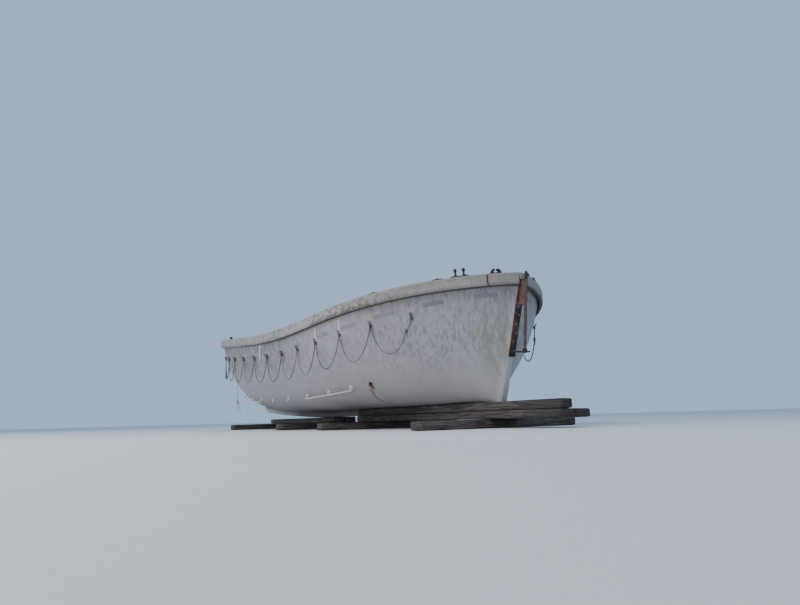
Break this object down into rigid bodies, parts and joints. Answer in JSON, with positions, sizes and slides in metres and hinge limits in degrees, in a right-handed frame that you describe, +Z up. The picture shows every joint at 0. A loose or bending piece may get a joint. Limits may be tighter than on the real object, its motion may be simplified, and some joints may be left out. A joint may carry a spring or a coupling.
{
  "type": "open double-ended lifeboat on a timber stack",
  "caption": "Double-ended open lifeboat shell with a thick belt rail, hanging lifelines, thwarts and rudder hangings without a rudder, standing on timber baulks.",
  "frame": {"origin": "on the floor under the middle of the boat: the underside of the cross bearer amidships", "axes": "+Y forward to the bow, +X to starboard, +Z up"},
  "size_m": [3.2898, 9.6071, 2.0116],
  "materials": {
    "gelcoat": "weathered off-white gelcoat with grey grime, green runs and rust stains",
    "rail": "weathered off-white moulding, browned on top",
    "rusty_steel": "rusted and flaking",
    "black_steel": "dull black",
    "white_paint": "old white paint with rust at the feet",
    "rope": "grey laid rope, frayed and dull",
    "boards": "dry grey-brown boards",
    "inner_moulding": "dull cream moulding",
    "old_timber": "dark weathered baulk, split at the ends"
  },
  "bodies": {
    "root": {"hull_starboard": "gelcoat", "hull_port": "gelcoat", "rail_starboard": "rail", "rail_port": "rail", "sternpost": "gelcoat", "keel": "gelcoat", "stem": "gelcoat", "sternpost_facing": "rusty_steel", "rod_upper_bracket": "rusty_steel", "rudder_rod": "rusty_steel", "rod_cap": "black_steel", "rod_lower_bracket": "black_steel", "stern_bitts_starboard": "rusty_steel", "bow_bitts_starboard": "rusty_steel", "stern_bitts_port": "rusty_steel", "bow_bitts_port": "rusty_steel", "stern_chock_starboard": "rusty_steel", "stern_chock_port": "rusty_steel", "bow_chock_starboard": "rusty_steel", "bow_chock_port": "rusty_steel", "rowlock_plate_aft_starboard": "rusty_steel", "rowlock_plate_aft_port": "rusty_steel", "rowlock_plate_forward_starboard": "rusty_steel", "rowlock_plate_forward_port": "rusty_steel", "lifeline_starboard": "rope", "lifeline_port": "rope", "bow_painter": "rope", "grab_rail_starboard_aft": "white_paint", "grab_rail_starboard_middle": "white_paint", "grab_rail_starboard_forward": "white_paint", "grab_rail_port_aft": "white_paint", "grab_rail_port_forward": "white_paint", "grab_stub_port_aft": "white_paint", "grab_stub_port_forward": "white_paint", "grab_stub_port_torn": "rusty_steel", "bottom_boards": "boards", "side_bench_starboard": "inner_moulding", "side_bench_port": "inner_moulding", "thwart_1": "boards", "thwart_2": "boards", "thwart_3": "boards", "thwart_4": "boards", "thwart_5": "boards", "stern_tank": "inner_moulding", "stern_sheets": "boards", "bow_tank": "inner_moulding", "bow_sheets": "boards", "fall_hook_aft": "rusty_steel", "fall_hook_forward": "rusty_steel", "cross_bearer_1": "old_timber", "cross_bearer_2": "old_timber", "cross_bearer_3": "old_timber", "cross_bearer_4": "old_timber", "lower_baulk_aft_starboard": "old_timber", "lower_baulk_aft_port": "old_timber", "lower_baulk_forward_starboard": "old_timber", "lower_baulk_forward_port": "old_timber", "packing_baulk_port": "old_timber", "packing_baulk_starboard": "old_timber"}
  },
  "joints": []
}
